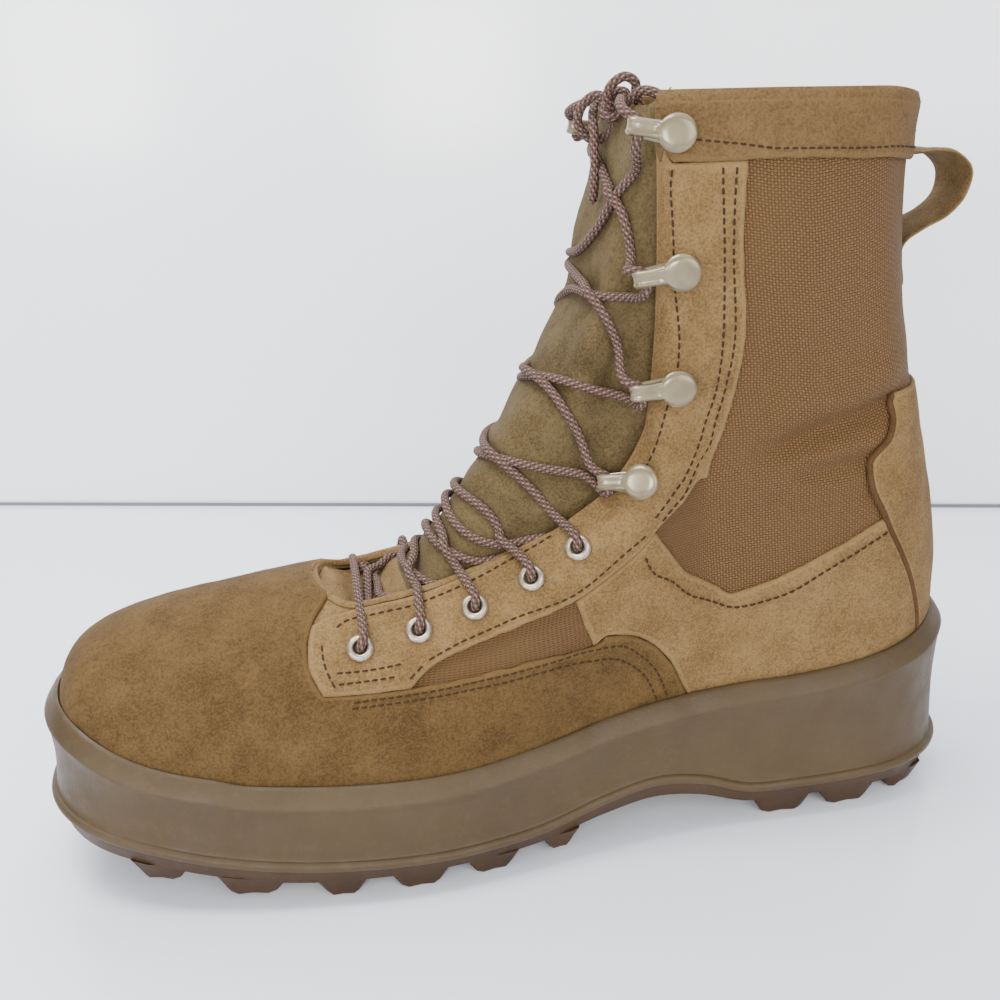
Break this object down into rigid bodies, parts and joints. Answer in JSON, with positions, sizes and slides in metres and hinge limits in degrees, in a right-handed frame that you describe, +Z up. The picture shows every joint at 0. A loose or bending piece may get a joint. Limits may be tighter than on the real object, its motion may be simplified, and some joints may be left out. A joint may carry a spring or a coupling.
{
  "type": "combat boot",
  "caption": "Left laced combat boot, suede and woven fabric, with hooks above eyelets, a bulging tongue, a thick lugged sole and a pull loop at the collar's back.",
  "frame": {"origin": "middle of the boot's footprint box, on the floor", "axes": "+Z up, toe towards -X, heel towards +X, outer side of the foot towards -Y"},
  "size_m": [0.3354, 0.112, 0.2601],
  "materials": {
    "suede": "rough suede, coyote tan",
    "textile": "coarse woven nylon, brown tan",
    "tongue_leather": "soft suede, olive tan",
    "midsole": "matt foamed polyurethane, taupe",
    "outsole": "matt rubber, reddish brown",
    "insole": "matt fabric, dark",
    "hook_enamel": "glossy tan enamel",
    "eyelet_metal": "bright metal, tan tint",
    "lace": "round braid, mauve brown",
    "pull_strap": "suede strap, olive inside"
  },
  "bodies": {
    "root": {"backstay": "suede", "collar_band": "suede", "eyelet_inner_1": "eyelet_metal", "eyelet_inner_2": "eyelet_metal", "eyelet_inner_3": "eyelet_metal", "eyelet_inner_4": "eyelet_metal", "eyelet_inner_5": "eyelet_metal", "eyelet_outer_1": "eyelet_metal", "eyelet_outer_2": "eyelet_metal", "eyelet_outer_3": "eyelet_metal", "eyelet_outer_4": "eyelet_metal", "eyelet_outer_5": "eyelet_metal", "eyestay_inner": "suede", "eyestay_outer": "suede", "hook_inner_1": "hook_enamel", "hook_inner_2": "hook_enamel", "hook_inner_3": "hook_enamel", "hook_inner_4": "hook_enamel", "hook_outer_1": "hook_enamel", "hook_outer_2": "hook_enamel", "hook_outer_3": "hook_enamel", "hook_outer_4": "hook_enamel", "insole": "insole", "lace_bar": "lace", "lace_bow": "lace", "lace_crossing_1": "lace", "lace_crossing_2": "lace", "lace_crossing_3": "lace", "lace_crossing_4": "lace", "lace_crossing_5": "lace", "lace_crossing_6": "lace", "lace_crossing_7": "lace", "lace_crossing_8": "lace", "lace_hanging_end": "lace", "lace_tucked_end": "lace", "midsole": "midsole", "outsole": "outsole", "pull_loop": "pull_strap", "quarter_inner": "suede", "quarter_outer": "suede", "tongue": "tongue_leather", "upper": "textile", "vamp": "suede"}
  },
  "joints": []
}
